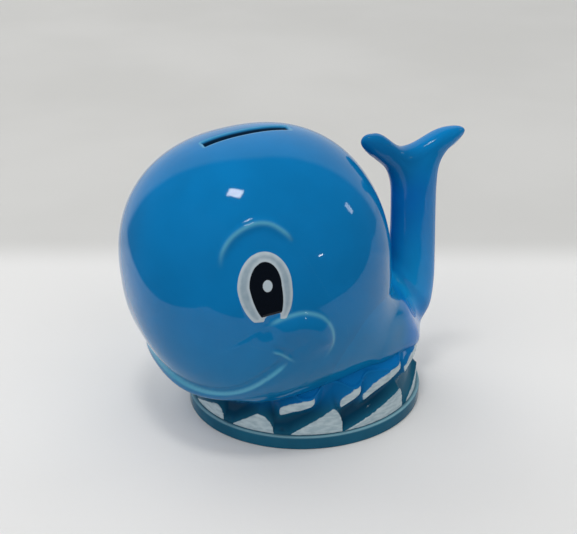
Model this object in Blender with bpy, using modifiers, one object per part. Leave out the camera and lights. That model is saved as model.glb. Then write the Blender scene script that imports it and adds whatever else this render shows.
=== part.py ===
"""A glazed earthenware coin bank: a round whale, tail raised, sitting in an oval ring of waves.

The whale's nose points to -Y, +X is its left side and +Z is up. The origin is the middle of the
footprint, at the table. Sizes are in millimetres until they reach the meshes, which are in metres.
"""

import math

import bmesh
import bpy
import numpy as np
from mathutils import Matrix, Vector

MM = 0.001
CLEARANCE = 0.3
SKIN_SEGMENTS = 56
SKIN_RINGS = 30

# The body is a blunt ball, nose a little down, with a belly that is fuller than its crown.
BODY_LENGTH = 107.6
BODY_WIDTH = 104.0
BODY_HEIGHT = 107.0
BODY_AHEAD = 22.3
BODY_SINK = 10.05
BODY_PITCH = 4.5
BLUNTNESS = 2.3
BELLY_FULLNESS = 3.0
BODY_WALL = 4.5

# The coin slot runs fore and aft over the crown.
SLOT_LENGTH = 35.0
SLOT_WIDTH = 4.6
SLOT_AHEAD = 3.0

# The belly is open where it sits over the hollow of the base.
BELLY_HOLE_LENGTH = 54.0
BELLY_HOLE_WIDTH = 50.0
BELLY_HOLE_AHEAD = 6.0

# The face, as bearings from the middle of the body: degrees round from the nose, degrees up.
EYE_AT = (71.4, 11.8)
EYE_WIDTH = 22.4
EYE_HEIGHT = 28.0
EYE_RISE = 1.1
EYE_LEAN = 8.0
BROW_RADIUS = 17.0
BROW_FROM = 34.0
BROW_TO = 172.0
BROW_THICKNESS = 4.4
CHEEK_AT = (89.0, -13.8)
CHEEK_WIDTH = 27.0
CHEEK_HEIGHT = 24.0
CHEEK_RISE = 1.7
MOUTH_MIDDLE_DROP = 38.0
MOUTH_DIP_DROP = 38.5
MOUTH_CORNER = (82.5, -22.5)
MOUTH_GROOVE = 2.6
LIP_THICKNESS = 7.6
LIP_RISE = 2.4
DIMPLE_LENGTH = 9.5
DIMPLE_WIDTH = 1.8

# The tail leaves the body low at the back, turns upright and ends in two flukes, one ahead, one behind.
TAIL_HEIGHT = 112.5
TAIL_GAP = 18.0
ROOT_WIDTH = 82.0
ROOT_SINK = 8.5
CROTCH_HEIGHT = 50.5
HEEL_HEIGHT = 32.0
STEM_DEPTH = 20.6
STEM_THICKNESS = 13.8
FLUKE_SPAN = 47.8
FLUKE_AHEAD = 1.4
TIP_DROP = 3.4
NOTCH_DEPTH = 7.2

# The base is an oval ring with a plain band, a wall of waves and a floor above a recessed foot.
BASE_LENGTH = 100.0
BASE_WIDTH = 94.4
BAND_HEIGHT = 5.6
LEDGE = 2.0
RIM_FRONT = 19.5
RIM_REAR = 28.0
RING_THICKNESS = 14.0
FOOT_WIDTH = 6.0
FOOT_RECESS = 6.0
FLOOR_THICKNESS = 4.0
WAVES = 12
CREST_LENGTH = 0.86
CREST_RELIEF = 1.9
CREST_ROOT = 2.0
LOWER_CREST = 9.6
UPPER_CREST = 8.0
EDGE_ROUND = 0.8

# The stopper is a soft plug in the floor, with a flange below it and a bar to pull it by.
STOPPER_HOLE = 28.0
FLANGE_OVERLAP = 3.2
FLANGE_THICKNESS = 2.6
PLUG_PROUD = 3.0
PLUG_WALL = 2.6
GRIP_WIDTH = 4.0

half_length = BODY_LENGTH / 2
half_width = BODY_WIDTH / 2
half_height = BODY_HEIGHT / 2
rim_middle = (RIM_FRONT + RIM_REAR) / 2
body_centre = np.array([0.0, -BODY_AHEAD, rim_middle - BODY_SINK + half_height])
pitch = math.radians(BODY_PITCH)
tail_behind = half_length - BODY_AHEAD + TAIL_GAP
floor_top = FOOT_RECESS + FLOOR_THICKNESS


def body_radius(heading, grow=0.0):
    """Distance from the body's middle to its skin along each unit heading, for a skin moved out by grow."""
    across = np.abs(heading[:, 0]) / (half_width + grow)
    ahead = -heading[:, 1] * math.cos(pitch) - heading[:, 2] * math.sin(pitch)
    up = -heading[:, 1] * math.sin(pitch) + heading[:, 2] * math.cos(pitch)
    fullness = np.where(up >= 0, 2.0, BELLY_FULLNESS)
    ring = across**fullness + (np.abs(up) / (half_height + grow)) ** fullness
    sum_of_powers = ring ** (BLUNTNESS / fullness) + (np.abs(ahead) / (half_length + grow)) ** BLUNTNESS
    return sum_of_powers ** (-1 / BLUNTNESS)


def heading_of(bearing):
    """Unit heading of a (degrees round from the nose, degrees up) pair."""
    turn, lift = (math.radians(angle) for angle in bearing)
    return np.array([math.cos(lift) * math.sin(turn), -math.cos(lift) * math.cos(turn), math.sin(lift)])


def on_skin(bearing, lift=0.0):
    """Point of the body's skin at a bearing, moved out by lift."""
    heading = heading_of(bearing)
    return body_centre + heading * (body_radius(heading[None])[0] + lift)


def smooth_rows(rows, between):
    """Rows of a table with `between` steps from each to the next, as a curve through all of them."""
    rows = np.asarray(rows, float)
    before = np.vstack([2 * rows[0] - rows[1], rows[:-1]])
    after = np.vstack([rows[1:], 2 * rows[-1] - rows[-2]])
    slope = (after - before) / 2
    share = np.linspace(0, 1, between, endpoint=False)[:, None]
    made = []
    for k in range(len(rows) - 1):
        cubic = 2 * share**3 - 3 * share**2
        made.append(
            (1 + cubic) * rows[k]
            - cubic * rows[k + 1]
            + (share**3 - 2 * share**2 + share) * slope[k]
            + (share**3 - share**2) * slope[k + 1]
        )
    return np.vstack(made + [rows[-1:]])


def material_of(name, colour, roughness):
    """A plain coloured Principled material."""
    material = bpy.data.materials.new(name)
    material.use_nodes = True
    shader = material.node_tree.nodes["Principled BSDF"]
    shader.inputs["Base Color"].default_value = (*colour, 1.0)
    shader.inputs["Roughness"].default_value = roughness
    shader.inputs["Metallic"].default_value = 0.0
    return material


def place(obj, collection, material=None):
    """Moves an object to a collection under the base's frame, and makes it a part or a cutter."""
    for old in list(obj.users_collection):
        old.objects.unlink(obj)
    collection.objects.link(obj)
    obj.parent = base_frame
    if material is None:
        obj.hide_render = True
        obj.display_type = "WIRE"
    else:
        obj.data.materials.append(material)
        obj.data.shade_smooth()
        obj.data.set_sharp_from_angle(angle=math.radians(35))
    return obj


def mesh_object(name, points, faces):
    """An object from points in millimetres, its faces turned outwards."""
    mesh = bpy.data.meshes.new(name)
    mesh.from_pydata((np.asarray(points) * MM).tolist(), [], faces)
    mesh.validate()
    shape = bmesh.new()
    shape.from_mesh(mesh)
    bmesh.ops.recalc_face_normals(shape, faces=shape.faces)
    shape.to_mesh(mesh)
    shape.free()
    obj = bpy.data.objects.new(name, mesh)
    bpy.context.scene.collection.objects.link(obj)
    return obj


def combine(obj, other, operation):
    """Adds an exact Boolean with another object or with all the objects of a collection."""
    modifier = obj.modifiers.new(f"{operation.lower()} {other.name}", "BOOLEAN")
    modifier.operation = operation
    modifier.solver = "EXACT"
    if isinstance(other, bpy.types.Collection):
        modifier.operand_type = "COLLECTION"
        modifier.collection = other
    else:
        modifier.object = other


def new_collection(name, parent=None):
    collection = bpy.data.collections.new(name)
    (parent or bpy.context.scene.collection).children.link(collection)
    return collection


def body_ball(name, grow, segments, rings):
    """The body's skin moved out by grow: a sphere with its poles fore and aft, drawn out to the skin."""
    bpy.ops.mesh.primitive_uv_sphere_add(segments=segments, ring_count=rings, radius=1.0)
    ball = bpy.context.object
    ball.name = name
    unit = np.empty(len(ball.data.vertices) * 3, np.float32)
    ball.data.vertices.foreach_get("co", unit)
    unit = unit.reshape(-1, 3).astype(float)
    heading = np.stack([unit[:, 0], unit[:, 2], -unit[:, 1]], axis=1)
    points = body_centre + heading * body_radius(heading, grow)[:, None]
    ball.data.vertices.foreach_set("co", (points * MM).astype(np.float32).ravel())
    ball.data.update()
    return ball


def oval_cutter(name, length, width, middle, bottom, top):
    """An upright oval cylinder."""
    bpy.ops.mesh.primitive_cylinder_add(vertices=48, radius=1.0, depth=1.0)
    cutter = bpy.context.object
    cutter.name = name
    size = Matrix.Diagonal((width / 2 * MM, length / 2 * MM, (top - bottom) * MM, 1.0))
    cutter.data.transform(Matrix.Translation(Vector((0, -middle, (top + bottom) / 2)) * MM) @ size)
    return cutter


def bump(name, bearing, width, height, rise, lean, side):
    """A shallow oval dome on the skin: a flattened sphere turned to the skin's heading."""
    turn, lift = bearing
    out = Vector(heading_of((turn * side, lift)))
    across = Vector((0, 0, 1)).cross(out).normalized()
    up = out.cross(across)
    sink = 2.2 * rise
    middle = Vector(on_skin((turn * side, lift), rise - sink))
    axes = Matrix((across, up, out)).transposed().to_4x4()
    bpy.ops.mesh.primitive_uv_sphere_add(segments=28, ring_count=14, radius=1.0)
    dome = bpy.context.object
    dome.name = f"{name}_{'left' if side > 0 else 'right'}"
    size = Matrix.Diagonal((width / 2 * MM, height / 2 * MM, sink * MM, 1.0))
    tilt = Matrix.Rotation(math.radians(lean * side), 4, "Z")
    dome.data.transform(Matrix.Translation(middle * MM) @ axes @ tilt @ size)
    return dome


def cord(name, points, thickness, taper):
    """A round cord through points, thinner towards its two ends, as a closed mesh."""
    curve = bpy.data.curves.new(name, "CURVE")
    curve.dimensions = "3D"
    curve.bevel_depth = thickness / 2 * MM
    curve.bevel_resolution = 2
    curve.use_fill_caps = True
    spline = curve.splines.new("POLY")
    spline.points.add(len(points) - 1)
    along = np.linspace(-1, 1, len(points))
    for k, point in enumerate(points):
        spline.points[k].co = (*(np.asarray(point) * MM), 1.0)
        spline.points[k].radius = 1 - taper * abs(along[k]) ** 3
    drawn = bpy.data.objects.new(name, curve)
    bpy.context.scene.collection.objects.link(drawn)
    bpy.context.view_layer.update()
    mesh = bpy.data.meshes.new_from_object(drawn.evaluated_get(bpy.context.evaluated_depsgraph_get()))
    bpy.data.objects.remove(drawn)
    shape = bmesh.new()
    shape.from_mesh(mesh)
    bmesh.ops.remove_doubles(shape, verts=shape.verts, dist=1e-6)
    bmesh.ops.recalc_face_normals(shape, faces=shape.faces)
    shape.to_mesh(mesh)
    shape.free()
    obj = bpy.data.objects.new(name, mesh)
    bpy.context.scene.collection.objects.link(obj)
    return obj


def tail_table():
    """Rows from the root to the flukes: front edge ahead and up, rear edge ahead and up, half thickness."""
    back = -tail_behind
    inside = BODY_AHEAD - 0.38 * half_length
    deep = STEM_DEPTH / 2
    thin = STEM_THICKNESS / 2
    root = ROOT_WIDTH / 2
    reach = FLUKE_SPAN / 2
    under = RIM_REAR - ROOT_SINK
    fall = HEEL_HEIGHT - under
    rise = TAIL_HEIGHT - HEEL_HEIGHT

    def between(share):
        return inside + (back - inside) * share

    return [
        (inside, CROTCH_HEIGHT + 0.9 * deep, inside, under + 0.7 * fall, 0.98 * root),
        (between(0.31), CROTCH_HEIGHT + 0.63 * deep, between(0.31), under + 0.26 * fall, root),
        (between(0.56), CROTCH_HEIGHT + 0.24 * deep, between(0.62), under, 0.83 * root),
        (back + 1.55 * deep, CROTCH_HEIGHT, between(0.9), under + 0.08 * fall, 0.6 * root),
        (back + 1.22 * deep, CROTCH_HEIGHT + 0.1 * deep, back - 0.4 * deep, under + 0.42 * fall, 2.0 * thin),
        (back + 1.06 * deep, CROTCH_HEIGHT + 0.48 * deep, back - 0.89 * deep, HEEL_HEIGHT, 1.46 * thin),
        (back + deep, CROTCH_HEIGHT + 1.07 * deep, back - 1.05 * deep, HEEL_HEIGHT + 0.13 * rise, 1.2 * thin),
        (back + 0.98 * deep, HEEL_HEIGHT + 0.47 * rise, back - 1.04 * deep, HEEL_HEIGHT + 0.33 * rise, 1.06 * thin),
        (back + deep, HEEL_HEIGHT + 0.6 * rise, back - 0.98 * deep, HEEL_HEIGHT + 0.55 * rise, thin),
        (back + 1.06 * deep, HEEL_HEIGHT + 0.72 * rise, back - 0.96 * deep, HEEL_HEIGHT + 0.73 * rise, 0.97 * thin),
        (back + 0.58 * reach, HEEL_HEIGHT + 0.81 * rise, back - 0.46 * reach, HEEL_HEIGHT + 0.81 * rise, 0.88 * thin),
        (back + 0.77 * reach, HEEL_HEIGHT + 0.868 * rise, back - 0.585 * reach, HEEL_HEIGHT + 0.868 * rise, 0.74 * thin),
        (back + 0.9 * reach, HEEL_HEIGHT + 0.902 * rise, back - 0.73 * reach, HEEL_HEIGHT + 0.902 * rise, 0.62 * thin),
    ]


def fluke_top(share):
    """Top edge of the flukes, ahead and up, at shares from 1 at the front tip to -1 at the rear tip."""
    ahead = -tail_behind + FLUKE_AHEAD + share * FLUKE_SPAN / 2
    lobes = 1 - np.abs((np.abs(share) - 0.78) / 0.22).clip(0, 1) ** 2.2
    valley = np.cos(np.clip(np.abs(share - 0.12) / 0.66, 0, 1) * math.pi / 2) ** 2
    tip = np.where(np.abs(share) > 0.78, TIP_DROP * (1 - lobes), 0.0)
    return ahead, TAIL_HEIGHT - tip - NOTCH_DEPTH * valley


def tail_solid(name, grow):
    """The tail, moved out by grow: oval sections between its front and rear edges, closed by the flukes' top."""
    rows = smooth_rows(tail_table(), 2)
    round_it = np.linspace(0, 2 * math.pi, 28, endpoint=False)
    share, side = np.cos(round_it), np.sin(round_it)
    front, rear, half = rows[:, 0:2], rows[:, 2:4], rows[:, 4] + grow
    middle, lever = (front + rear) / 2, (front - rear) / 2
    lever *= 1 + grow / np.linalg.norm(lever, axis=1, keepdims=True)
    flat = middle[:, None] + lever[:, None] * share[None, :, None]
    along = np.linspace(0, 1, len(rows))
    root = np.clip(1 - along / 0.45, 0, 1)[:, None]
    fluke = np.clip((along - 0.7) / 0.3, 0, 1)[:, None]
    fullness = 2.0 + np.where(share < 0, 2.0, 0.0) * root + 1.0 * fluke
    wide = np.sign(side) * np.abs(1 - np.abs(share) ** fullness).clip(0, 1) ** (1 / fullness)
    sections = [np.stack([half[k] * wide[k], -flat[k, :, 0], flat[k, :, 1]], axis=1) for k in range(len(rows))]
    ahead, up = fluke_top(share)
    for angle in (20, 40, 58, 74):
        lift = math.sin(math.radians(angle))
        across = half[-1] * math.cos(math.radians(angle)) * wide[-1]
        y = -(1 - lift) * flat[-1, :, 0] - lift * (ahead + grow * share)
        z = (1 - lift) * flat[-1, :, 1] + lift * (up + grow)
        sections.append(np.stack([across, y, z], axis=1))
    count = len(round_it)
    points = np.concatenate(sections)
    faces = []
    for k in range(len(sections) - 1):
        for j in range(count):
            beside = (j + 1) % count
            faces.append((k * count + j, k * count + beside, (k + 1) * count + beside, (k + 1) * count + j))
    faces.append(tuple(range(count)))
    last = (len(sections) - 1) * count
    for j in range(count // 2):
        ring = [last + j, last + j + 1, last + (count - j - 1) % count, last + (count - j) % count]
        faces.append(tuple(dict.fromkeys(ring)))
    return mesh_object(name, points, faces)


def base_point(angle, outward, up):
    """Point at an angle round the oval from its front, moved out from the wave wall."""
    wall_length = BASE_LENGTH / 2 - LEDGE + outward
    wall_width = BASE_WIDTH / 2 - LEDGE + outward
    return (wall_width * math.sin(angle), -wall_length * math.cos(angle), up)


def crest(name, start, length, foot, height, relief):
    """One wave: a wedge lying along the wall, from a thin low tail to a tall blunt head."""
    steps = 9
    points = []
    for k in range(steps):
        share = k / (steps - 1)
        angle = start + length * share
        rise = math.sin(min(share / 0.8, 1.0) * math.pi / 2) ** 1.25
        if share > 0.8:
            rise *= 1 - 0.45 * ((share - 0.8) / 0.2) ** 2
        top = foot + height * (0.06 + rise)
        out = relief * (0.2 + 0.8 * share)
        points += [
            base_point(angle, -CREST_ROOT, foot),
            base_point(angle, out, foot),
            base_point(angle, 0.8 * out, top - 0.03 * height),
            base_point(angle, -CREST_ROOT, top),
        ]
    faces = [(0, 1, 2, 3), tuple(4 * (steps - 1) + j for j in range(4))]
    for k in range(steps - 1):
        for j in range(4):
            beside = (j + 1) % 4
            faces.append((4 * k + j, 4 * k + beside, 4 * k + 4 + beside, 4 * k + 4 + j))
    return mesh_object(name, points, faces)


def turned(name, profile, steps, widen=1.0):
    """A turned shape from a closed profile of (radius, height) pairs, narrowed across by widen."""
    mesh = bpy.data.meshes.new(name)
    corners = [(radius * MM, 0.0, height * MM) for radius, height in profile]
    edges = [(k, (k + 1) % len(corners)) for k in range(len(corners))]
    if profile[0][0] == 0 and profile[-1][0] == 0:
        edges.pop()
    mesh.from_pydata(corners, edges, [])
    obj = bpy.data.objects.new(name, mesh)
    bpy.context.scene.collection.objects.link(obj)
    obj.scale = (widen, 1.0, 1.0)
    screw = obj.modifiers.new("turn", "SCREW")
    screw.axis = "Z"
    screw.steps = steps
    screw.render_steps = steps
    screw.use_merge_vertices = True
    screw.merge_threshold = 0.00001
    screw.use_normal_calculate = True
    return obj


for old in list(bpy.data.objects):
    bpy.data.objects.remove(old)

parts = new_collection("whale_coin_bank")
helpers = new_collection("cutters")
reliefs = new_collection("face_relief", helpers)
grooves = new_collection("face_grooves", helpers)
crests = new_collection("wave_crests", helpers)

glaze_blue = material_of("blue_glaze", (0.012, 0.130, 0.420), 0.12)
glaze_tail = material_of("blue_glaze_tail", (0.008, 0.095, 0.400), 0.12)
glaze_teal = material_of("teal_glaze", (0.015, 0.140, 0.210), 0.14)
rubber = material_of("stopper_rubber", (0.030, 0.030, 0.032), 0.65)

# The base's frame puts the middle of the whole footprint at the origin.
spread = np.linspace(-40, 40, 81)
nose = max(-on_skin((0.0, lift))[1] for lift in spread)
tail_end = tail_behind - FLUKE_AHEAD + FLUKE_SPAN / 2
base_frame = bpy.data.objects.new("base_frame", None)
base_frame.location = (0.0, (nose - tail_end) / 2 * MM, 0.0)
parts.objects.link(base_frame)

# Body: the ball with its face in relief, hollowed, slotted on top and open below.
body = place(body_ball("body_shell", 0.0, SKIN_SEGMENTS, SKIN_RINGS), parts, glaze_blue)
hollow = place(body_ball("body_hollow", -BODY_WALL, 32, 18), helpers)

brow_turn = np.radians(np.linspace(BROW_FROM, BROW_TO, 17))
skin_scale = math.degrees(1 / half_width)
for side in (1, -1):
    place(bump("eye", EYE_AT, EYE_WIDTH, EYE_HEIGHT, EYE_RISE, EYE_LEAN, side), reliefs)
    place(bump("cheek", CHEEK_AT, CHEEK_WIDTH, CHEEK_HEIGHT, CHEEK_RISE, 0.0, side), reliefs)
    arc = []
    for turn in brow_turn:
        round_from_nose = EYE_AT[0] + 1.0 + BROW_RADIUS * skin_scale * math.cos(turn) * 0.86
        up_from_level = EYE_AT[1] + 6.0 + BROW_RADIUS * skin_scale * math.sin(turn)
        arc.append(on_skin((round_from_nose * side, up_from_level), -0.18 * BROW_THICKNESS))
    place(cord(f"brow_{'left' if side > 0 else 'right'}", arc, BROW_THICKNESS, 0.6), reliefs)
    corner_turn, corner_lift = MOUTH_CORNER
    dimple = []
    for share in np.linspace(-0.6, 0.4, 6):
        step = DIMPLE_LENGTH * skin_scale * share
        dimple.append(on_skin(((corner_turn + 0.82 * step) * side, corner_lift + 1.6 - 0.6 * step), 0.1))
    place(cord(f"dimple_{'left' if side > 0 else 'right'}", dimple, DIMPLE_WIDTH, 0.6), grooves)

smile_half = smooth_rows(
    [
        (0.0, -MOUTH_MIDDLE_DROP),
        (20.0, -0.4 * MOUTH_MIDDLE_DROP - 0.6 * MOUTH_DIP_DROP),
        (40.0, -MOUTH_DIP_DROP),
        (57.0, -0.9 * MOUTH_DIP_DROP - 0.1 * MOUTH_MIDDLE_DROP + 1.2),
        (0.55 * MOUTH_CORNER[0] + 24.6, 0.45 * MOUTH_CORNER[1] - 21.0),
        MOUTH_CORNER,
    ],
    4,
)
smile = np.vstack([smile_half[:0:-1] * (-1, 1), smile_half])
groove_line = [on_skin((turn, lift), 0.1) for turn, lift in smile]
lip_line = [on_skin((turn, lift - 3.4), LIP_RISE - LIP_THICKNESS / 2) for turn, lift in smile[2:-2]]
place(cord("lower_lip", lip_line, LIP_THICKNESS, 0.5), reliefs)
place(cord("smile", groove_line, MOUTH_GROOVE, 0.6), grooves)

slot_start = body_centre[1] - SLOT_AHEAD
bpy.ops.mesh.primitive_cube_add(size=1.0)
slot = bpy.context.object
slot.name = "coin_slot"
slot.data.transform(Matrix.Diagonal((SLOT_WIDTH * MM, SLOT_LENGTH * MM, half_height * MM, 1.0)))
slot.data.transform(Matrix.Translation(Vector((0, slot_start, body_centre[2] + 0.95 * half_height)) * MM))
place(slot, helpers)

belly_hole = oval_cutter(
    "belly_hole", BELLY_HOLE_LENGTH, BELLY_HOLE_WIDTH, BELLY_HOLE_AHEAD, 0.0, body_centre[2] - 0.6 * half_height
)
place(belly_hole, helpers)

combine(body, reliefs, "UNION")
combine(body, grooves, "DIFFERENCE")
combine(body, hollow, "DIFFERENCE")
combine(body, slot, "DIFFERENCE")
combine(body, belly_hole, "DIFFERENCE")

# Tail: luted to the back of the body, so its root is cut to the body's skin.
tail = place(tail_solid("tail", 0.0), parts, glaze_tail)
body_seat = place(body_ball("body_seat", CLEARANCE, SKIN_SEGMENTS, SKIN_RINGS), helpers)
combine(tail, body_seat, "DIFFERENCE")

# Base: a turned ring made oval, carrying two rows of waves, its rim higher at the back.
outer = BASE_LENGTH / 2
wall = outer - LEDGE
bore = wall - RING_THICKNESS
ring_top = 1.25 * max(RIM_FRONT, RIM_REAR)
base_profile = [
    (bore, ring_top),
    (wall - EDGE_ROUND, ring_top),
    (wall - EDGE_ROUND, BAND_HEIGHT + EDGE_ROUND),
    (wall, BAND_HEIGHT + 0.4 * EDGE_ROUND),
    (outer - EDGE_ROUND, BAND_HEIGHT),
    (outer, BAND_HEIGHT - EDGE_ROUND),
    (outer, EDGE_ROUND),
    (outer - EDGE_ROUND, 0.0),
    (outer - FOOT_WIDTH, 0.0),
    (outer - FOOT_WIDTH - EDGE_ROUND, FOOT_RECESS),
    (0.3 * STOPPER_HOLE, FOOT_RECESS),
    (0.3 * STOPPER_HOLE, floor_top),
    (bore, floor_top),
]
base = place(turned("wave_base", base_profile, 80, BASE_WIDTH / BASE_LENGTH), parts, glaze_teal)

pitch_angle = 2 * math.pi / WAVES
for k in range(WAVES):
    start = k * pitch_angle
    lower_foot = BAND_HEIGHT - EDGE_ROUND
    lower_rise = LOWER_CREST * (1 - 0.1 * math.cos(start))
    lower = crest(f"lower_{k}", start, pitch_angle * CREST_LENGTH, lower_foot, lower_rise, CREST_RELIEF)
    place(lower, crests)
    middle = start + 0.85 * pitch_angle
    rim = rim_middle + (RIM_FRONT - RIM_REAR) / 2 * math.cos(middle)
    upper_foot = rim - 1.05 * UPPER_CREST
    upper = crest(f"upper_{k}", middle, pitch_angle * CREST_LENGTH, upper_foot, UPPER_CREST, 0.8 * CREST_RELIEF)
    place(upper, crests)

bpy.ops.mesh.primitive_cube_add(size=1.0)
rim_cut = bpy.context.object
rim_cut.name = "rim_cut"
rim_slope = math.atan2(RIM_REAR - RIM_FRONT, BASE_LENGTH)
rim_point = Vector((0, 0, rim_middle)) * MM
rim_size = Matrix.Diagonal((1.5 * BASE_WIDTH * MM, 1.5 * BASE_LENGTH * MM, ring_top * MM, 1.0))
lift_half = Matrix.Translation((0, 0, ring_top / 2 * MM))
rim_cut.data.transform(Matrix.Translation(rim_point) @ Matrix.Rotation(rim_slope, 4, "X") @ lift_half @ rim_size)
place(rim_cut, helpers)

tail_seat = place(tail_solid("tail_seat", CLEARANCE), helpers)
stopper_hole = oval_cutter("stopper_hole", STOPPER_HOLE, STOPPER_HOLE, 0.0, 0.5 * FOOT_RECESS, 1.5 * floor_top)
place(stopper_hole, helpers)

combine(base, crests, "UNION")
combine(base, rim_cut, "DIFFERENCE")
combine(base, body_seat, "DIFFERENCE")
combine(base, tail_seat, "DIFFERENCE")
combine(base, stopper_hole, "DIFFERENCE")

# Stopper: turned, hollow from above, with a pocket below that leaves a bar to grip.
plug = STOPPER_HOLE / 2 - CLEARANCE
flange = STOPPER_HOLE / 2 + FLANGE_OVERLAP
flange_top = FOOT_RECESS - CLEARANCE
flange_bottom = flange_top - FLANGE_THICKNESS
plug_top = floor_top + PLUG_PROUD
web = flange_top + 0.4 * FLANGE_THICKNESS
stopper_profile = [
    (0.0, web),
    (plug - PLUG_WALL, web),
    (plug - PLUG_WALL, plug_top),
    (plug - EDGE_ROUND, plug_top),
    (plug, plug_top - EDGE_ROUND),
    (plug, flange_top),
    (flange - EDGE_ROUND, flange_top),
    (flange, flange_top - EDGE_ROUND),
    (flange, flange_bottom + EDGE_ROUND),
    (flange - EDGE_ROUND, flange_bottom),
    (0.0, flange_bottom),
]
stopper = place(turned("stopper", stopper_profile, 48), parts, rubber)
for side in (1, -1):
    pocket_name = f"grip_pocket_{'left' if side > 0 else 'right'}"
    pocket = oval_cutter(pocket_name, 1.1 * plug, 0.5 * plug, 0.0, 0.5 * flange_bottom, flange_top - 0.15 * FLANGE_THICKNESS)
    pocket.data.transform(Matrix.Translation((side * (0.25 * plug + GRIP_WIDTH / 2) * MM, 0, 0)))
    place(pocket, helpers)
    combine(stopper, pocket, "DIFFERENCE")
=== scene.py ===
"""A glazed earthenware coin bank: a round whale with its tail raised, sitting in an oval ring of waves.

The whale's nose points to -Y, +X is its left side and +Z is up. Lengths are in millimetres until they
reach a mesh, a lamp or the camera, which are in metres.
"""

import math

import bpy
import numpy as np
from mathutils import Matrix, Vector


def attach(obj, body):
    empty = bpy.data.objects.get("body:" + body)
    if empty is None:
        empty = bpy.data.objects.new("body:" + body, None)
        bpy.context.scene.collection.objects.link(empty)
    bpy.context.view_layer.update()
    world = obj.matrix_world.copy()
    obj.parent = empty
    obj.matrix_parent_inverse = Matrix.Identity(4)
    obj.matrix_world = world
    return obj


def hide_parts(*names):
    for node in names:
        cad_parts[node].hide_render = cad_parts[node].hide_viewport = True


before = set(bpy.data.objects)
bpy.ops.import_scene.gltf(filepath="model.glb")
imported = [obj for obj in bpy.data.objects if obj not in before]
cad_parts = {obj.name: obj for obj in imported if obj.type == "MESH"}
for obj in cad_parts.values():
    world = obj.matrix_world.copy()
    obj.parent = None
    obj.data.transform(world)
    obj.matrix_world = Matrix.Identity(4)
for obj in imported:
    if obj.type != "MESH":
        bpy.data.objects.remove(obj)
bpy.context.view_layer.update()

# Setting: the bank stands on a sheet of pale cloth that ends a hand's width in front of it, between soft
# panels that don't show in its glaze. Two small lamps, a window and a pale wall do show. The camera stands
# where the photograph was taken from.
MM = 0.001
VIEW_AZIMUTH = 67.6
VIEW_ELEVATION = 24.9
VIEW_DISTANCE = 500.0
VIEW_TARGET = np.array([0.0, -5.38, 59.7])
VIEW_LENS = 75.7
CLOTH_FRONT = 215.0
CLOTH_LEFT = 168.0
CLOTH_FAR = 1900.0
CLOTH_PALE = (0.765, 0.76, 0.755, 1.0)
# Farther back the cloth is painted greyer: painted shade standing in for a dimmer backdrop.
CLOTH_FAR_SHADE = (0.57, 0.567, 0.555, 1.0)
CLOTH_SHADE_STARTS = (0.112, 0.150)
ROOM_TONE = (0.10, 0.102, 0.106, 1.0)
WALL_TONE = (0.70, 0.72, 0.71, 1.0)
WALL_LIFT = 14.0
WALL_EDGE = (0.58, 0.68)
SIDE_PANELS = ((22.0, 17.0), (112.0, 12.0), (202.0, 7.5), (292.0, 17.0))
PANEL_LIFT = 28.0
PANEL_DISTANCE = 2.0
PANEL_SIZE = (2.0, 2.0)
WHITE_LIGHT = (1.0, 1.0, 1.0)
# Lamps: azimuth, elevation, distance, size, power and tone, and for a glint the spot that it shows in.
SOFT_CEILING = (60.0, 80.0, 2.0, (3.0, 3.0), 14.0, (1.0, 0.995, 0.98))
GLINTS = {
    "ceiling_lamp": (47.8, 78.5, 2.2, (0.40, 0.28), 9.0, (1.0, 0.985, 0.96), (29.7, -38.8, 108.1)),
    "window": (168.1, 24.9, 1.8, (0.14, 0.24), 0.9, (0.95, 0.98, 1.0), (37.7, 3.6, 98.7)),
    "far_lamp": (120.9, 12.1, 1.5, (0.10, 0.03), 0.30, (1.0, 0.98, 0.95), (48.3, -12.4, 86.5)),
}


def direction(azimuth, elevation):
    """Unit vector at degrees round from the nose towards the whale's left, and degrees up."""
    turn, lift = math.radians(azimuth), math.radians(elevation)
    return np.array([math.cos(lift) * math.sin(turn), -math.cos(lift) * math.cos(turn), math.sin(lift)])


def add_node(tree, kind, settings=None, inputs=None):
    """A node with its settings, whose inputs are values or, for a link, another node's output socket."""
    made = tree.nodes.new(kind)
    for key, value in (settings or {}).items():
        setattr(made, key, value)
    for key, value in (inputs or {}).items():
        if isinstance(value, bpy.types.NodeSocket):
            tree.links.new(value, made.inputs[key])
        else:
            made.inputs[key].default_value = value
    return made


def new_material(name):
    """A node material, its tree, its Principled shader and the object's own coordinates."""
    material = bpy.data.materials.new(name)
    material.use_nodes = True
    tree = material.node_tree
    place = add_node(tree, "ShaderNodeTexCoord").outputs["Object"]
    return material, tree, tree.nodes["Principled BSDF"], place


def mix_colour(tree, share, first, second):
    """Colour that goes from first to second as share goes from 0 to 1."""
    made = add_node(tree, "ShaderNodeMix", {"data_type": "RGBA", "clamp_factor": True})
    for socket, value in ((made.inputs[0], share), (made.inputs[6], first), (made.inputs[7], second)):
        if isinstance(value, bpy.types.NodeSocket):
            tree.links.new(value, socket)
        else:
            socket.default_value = value
    return made.outputs[2]


def maths(tree, operation, first, second=0.0):
    """One arithmetic step on two numbers or sockets."""
    return add_node(tree, "ShaderNodeMath", {"operation": operation}, {0: first, 1: second}).outputs[0]


def product(tree, first, *others):
    """Numbers or sockets multiplied together."""
    for other in others:
        first = maths(tree, "MULTIPLY", first, other)
    return first


def ramp(tree, value, low, high, from_low=0.0, from_high=1.0):
    """Number that goes smoothly from low to high as value goes from from_low to from_high."""
    made = add_node(
        tree,
        "ShaderNodeMapRange",
        {"interpolation_type": "SMOOTHSTEP"},
        {0: value, 1: from_low, 2: from_high, 3: low, 4: high},
    )
    return made.outputs[0]


def noise(tree, place, scale, detail=2.0):
    """Cloudy number about 0.5, at so many clouds to the metre."""
    return add_node(
        tree, "ShaderNodeTexNoise", None, {"Vector": place, "Scale": scale, "Detail": detail}
    ).outputs[0]


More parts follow.
